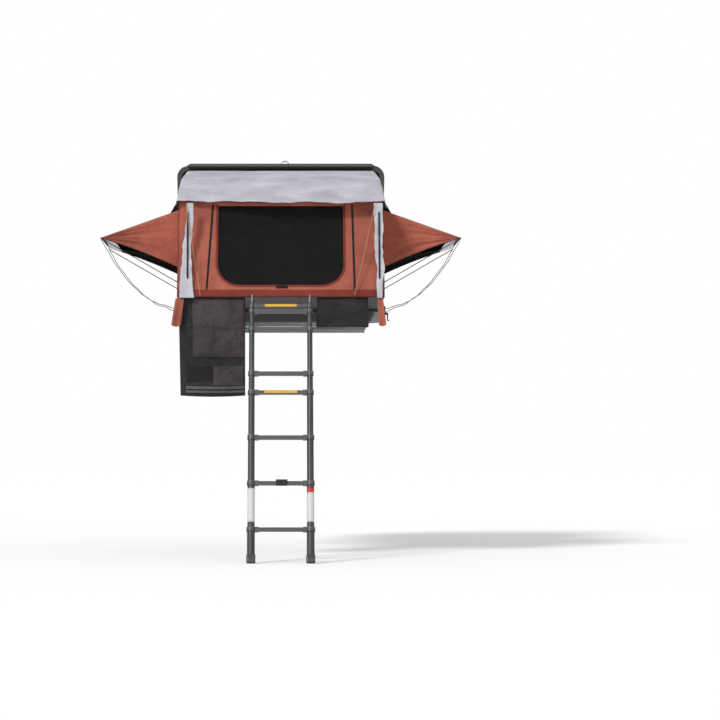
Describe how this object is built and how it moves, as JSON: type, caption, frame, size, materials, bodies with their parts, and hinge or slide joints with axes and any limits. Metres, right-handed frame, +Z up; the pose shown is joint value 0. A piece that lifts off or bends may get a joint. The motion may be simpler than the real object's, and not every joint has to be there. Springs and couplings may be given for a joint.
{
  "type": "roof top tent",
  "caption": "Hard shell roof top tent standing open, with a fold-out floor, side awnings and a telescopic ladder.",
  "frame": {"origin": "middle of the four bolt holes, on the underside of the mounting rails", "axes": "+X along the roof bars, -Y towards the ladder, +Z up"},
  "size_m": [2.493, 2.9896, 2.9528],
  "materials": {
    "rail": "anodised",
    "shell": "textured black moulding",
    "board": "black coated board",
    "bright": "bright steel",
    "dark_metal": "dark coated metal",
    "foam": "quilted mattress cover",
    "rubber": "matte",
    "webbing": "woven webbing",
    "lining": "dark quilted lining",
    "tent_cloth": "terracotta canvas",
    "cover_cloth": "pale grey coated cloth",
    "mesh": "black insect mesh",
    "zip": "black zip tape",
    "bag_cloth": "dark nylon",
    "ladder_metal": "grey coated tube",
    "grip": "yellow grip",
    "cord": "braided cord",
    "hem_cord": "tan elastic cord"
  },
  "bodies": {
    "base": {"mounting_rails": "rail", "base_tray": "shell", "floor_beams": "dark_metal", "rear_floor_board": "board", "rear_hinge_plates": "dark_metal", "rear_mattress": "foam", "base_hinge_leaves": "dark_metal", "base_fittings": "dark_metal", "tent_rear": "tent_cloth", "cover_rear": "cover_cloth"},
    "floor": {"front_floor_board": "board", "front_hinge_plates": "dark_metal", "front_mattress": "foam", "hoop_brackets": "dark_metal", "tent_front": "tent_cloth", "insect_mesh": "mesh", "door_zips": "zip", "cover_front": "cover_cloth", "cover_straps": "cover_cloth", "rod_posts": "dark_metal", "organiser": "bag_cloth", "shoe_bag": "bag_cloth", "corner_flaps": "tent_cloth", "ladder_brackets": "bright", "hem_cords": "hem_cord"},
    "lid": {"lid_rim": "shell", "lid_shell": "shell", "lid_lining": "lining", "lid_seal": "rubber", "lid_hinge_leaves": "dark_metal", "lid_pull_strap": "webbing", "cover_tabs": "webbing", "strut_brackets": "dark_metal"},
    "front_hoop": {"front_hoop": "bright"},
    "middle_hoop": {"middle_hoop": "bright"},
    "strut_cylinder_left": {"strut_cylinder_left": "dark_metal"},
    "strut_piston_left": {"strut_piston_left": "bright"},
    "awning_left": {"awning_left": "tent_cloth", "awning_cords_left": "cord"},
    "rod_near_left": {"awning_rod_near_left": "bright"},
    "rod_far_left": {"awning_rod_far_left": "bright"},
    "latch_left": {"latch_lever_left": "dark_metal"},
    "strut_cylinder_right": {"strut_cylinder_right": "dark_metal"},
    "strut_piston_right": {"strut_piston_right": "bright"},
    "awning_right": {"awning_right": "tent_cloth", "awning_cords_right": "cord"},
    "rod_near_right": {"awning_rod_near_right": "bright"},
    "rod_far_right": {"awning_rod_far_right": "bright"},
    "latch_right": {"latch_lever_right": "dark_metal"},
    "ladder_1": {"ladder_section_1": "ladder_metal", "grip_pad_upper": "grip"},
    "ladder_2": {"ladder_section_2": "ladder_metal"},
    "ladder_3": {"ladder_section_3": "ladder_metal"},
    "ladder_4": {"ladder_section_4": "ladder_metal"},
    "ladder_5": {"ladder_section_5": "ladder_metal", "grip_pad_middle": "grip"},
    "ladder_6": {"ladder_section_6": "ladder_metal"},
    "ladder_7": {"ladder_section_7": "ladder_metal", "strap_clip": "bag_cloth"},
    "ladder_8": {"ladder_section_8": "ladder_metal"}
  },
  "joints": [
    {"name": "floor_fold", "type": "hinge", "parent": "base", "child": "floor", "pos_m": [0, -0.56, 0.203], "axis": [-1, 0, 0], "range_deg": [0, 180], "deforming": ["tent_front", "insect_mesh", "door_zips", "cover_front", "cover_straps", "organiser", "shoe_bag", "corner_flaps", "hem_cords", "awning_left", "awning_right", "awning_cords_left", "awning_cords_right"]},
    {"name": "lid_hinge", "type": "hinge", "parent": "base", "child": "lid", "pos_m": [0, 0.64, 0.137], "axis": [1, 0, 0], "range_deg": [0, 60.5], "deforming": ["tent_rear", "cover_rear", "lid_seal", "front_mattress", "cover_tabs"]},
    {"name": "front_hoop_fold", "type": "hinge", "parent": "floor", "child": "front_hoop", "pos_m": [0, -0.68, 0.191], "axis": [1, 0, 0], "range_deg": [0, 37.4]},
    {"name": "middle_hoop_fold", "type": "hinge", "parent": "floor", "child": "middle_hoop", "pos_m": [0, -0.645, 0.191], "axis": [1, 0, 0], "range_deg": [0, 75]},
    {"name": "strut_turn_left", "type": "hinge", "parent": "base", "child": "strut_cylinder_left", "pos_m": [-0.733, -0.05, 0.15], "axis": [-1, 0, 0], "range_deg": [0, 27.52]},
    {"name": "strut_stroke_left", "type": "slide", "parent": "strut_cylinder_left", "child": "strut_piston_left", "axis": [0, -0.8869, -0.4619], "range_m": [0, 0.24761]},
    {"name": "awning_stow_left", "type": "hinge", "parent": "floor", "child": "awning_left", "pos_m": [-0.705, 0, 0.2], "axis": [0, 1, 0], "range_deg": [0, 154.17]},
    {"name": "rod_near_left_swing", "type": "hinge", "parent": "floor", "child": "rod_near_left", "pos_m": [-0.712, -1.3243, 0.24], "axis": [-0.5003, 0, -0.8658], "range_deg": [0, 93]},
    {"name": "rod_far_left_swing", "type": "hinge", "parent": "floor", "child": "rod_far_left", "pos_m": [-0.7085, -0.6897, 0.228], "axis": [0.5003, 0, 0.8658], "range_deg": [0, 93]},
    {"name": "latch_left_turn", "type": "hinge", "parent": "base", "child": "latch_left", "pos_m": [-0.8, -0.15, 0.112], "axis": [0, 1, 0], "range_deg": [0, 180]},
    {"name": "strut_turn_right", "type": "hinge", "parent": "base", "child": "strut_cylinder_right", "pos_m": [0.733, -0.05, 0.15], "axis": [-1, 0, 0], "range_deg": [0, 27.52]},
    {"name": "strut_stroke_right", "type": "slide", "parent": "strut_cylinder_right", "child": "strut_piston_right", "axis": [0, -0.8869, -0.4619], "range_m": [0, 0.24761]},
    {"name": "awning_stow_right", "type": "hinge", "parent": "floor", "child": "awning_right", "pos_m": [0.705, 0, 0.2], "axis": [0, -1, 0], "range_deg": [0, 154.17]},
    {"name": "rod_near_right_swing", "type": "hinge", "parent": "floor", "child": "rod_near_right", "pos_m": [0.712, -1.3243, 0.24], "axis": [-0.5003, 0, 0.8658], "range_deg": [0, 93]},
    {"name": "rod_far_right_swing", "type": "hinge", "parent": "floor", "child": "rod_far_right", "pos_m": [0.7085, -0.6897, 0.228], "axis": [0.5003, 0, -0.8658], "range_deg": [0, 93]},
    {"name": "latch_right_turn", "type": "hinge", "parent": "base", "child": "latch_right", "pos_m": [0.8, -0.15, 0.112], "axis": [0, -1, 0], "range_deg": [0, 180]},
    {"name": "ladder_swing", "type": "hinge", "parent": "floor", "child": "ladder_1", "pos_m": [0, -1.664, 0.078], "axis": [1, 0, 0], "range_deg": [0, 106]},
    {"name": "ladder_extend", "type": "slide", "parent": "ladder_1", "child": "ladder_2", "axis": [0, -0.2756, -0.9613], "range_m": [0, 0.276]},
    {"name": "ladder_slide_3", "type": "slide", "parent": "ladder_2", "child": "ladder_3", "axis": [0, 0.2756, 0.9613], "range_m": [0, 0.093]},
    {"name": "ladder_slide_4", "type": "slide", "parent": "ladder_3", "child": "ladder_4", "axis": [0, 0.2756, 0.9613], "range_m": [0, 0.276]},
    {"name": "ladder_slide_5", "type": "slide", "parent": "ladder_4", "child": "ladder_5", "axis": [0, 0.2756, 0.9613], "range_m": [0, 0.096]},
    {"name": "ladder_slide_6", "type": "slide", "parent": "ladder_5", "child": "ladder_6", "axis": [0, 0.2756, 0.9613], "range_m": [0, 0.276]},
    {"name": "ladder_slide_7", "type": "slide", "parent": "ladder_6", "child": "ladder_7", "axis": [0, 0.2756, 0.9613], "range_m": [0, 0.276]},
    {"name": "ladder_collapse", "type": "slide", "parent": "ladder_7", "child": "ladder_8", "axis": [0, 0.2756, 0.9613], "range_m": [0, 0.167]}
  ],
  "couplings": [
    {"joint": "front_hoop_fold", "follows": "floor_fold", "ratio": 0.20778},
    {"joint": "middle_hoop_fold", "follows": "floor_fold", "ratio": 0.41666},
    {"joint": "strut_turn_left", "follows": "lid_hinge", "ratio": 0.45472},
    {"joint": "strut_stroke_left", "follows": "lid_hinge", "m_per_rad": 0.2344},
    {"joint": "awning_stow_left", "follows": "floor_fold", "ratio": 0.85649},
    {"joint": "rod_near_left_swing", "follows": "floor_fold", "ratio": 0.51666},
    {"joint": "rod_far_left_swing", "follows": "floor_fold", "ratio": 0.51666},
    {"joint": "strut_turn_right", "follows": "lid_hinge", "ratio": 0.45472},
    {"joint": "strut_stroke_right", "follows": "lid_hinge", "m_per_rad": 0.2344},
    {"joint": "awning_stow_right", "follows": "floor_fold", "ratio": 0.85649},
    {"joint": "rod_near_right_swing", "follows": "floor_fold", "ratio": 0.51666},
    {"joint": "rod_far_right_swing", "follows": "floor_fold", "ratio": 0.51666},
    {"joint": "ladder_swing", "follows": "floor_fold", "ratio": 0.58888},
    {"joint": "ladder_slide_3", "follows": "ladder_collapse", "ratio": 0.55688},
    {"joint": "ladder_slide_4", "follows": "ladder_collapse", "ratio": 1.6527},
    {"joint": "ladder_slide_5", "follows": "ladder_collapse", "ratio": 0.57484},
    {"joint": "ladder_slide_6", "follows": "ladder_collapse", "ratio": 1.6527},
    {"joint": "ladder_slide_7", "follows": "ladder_collapse", "ratio": 1.6527}
  ]
}
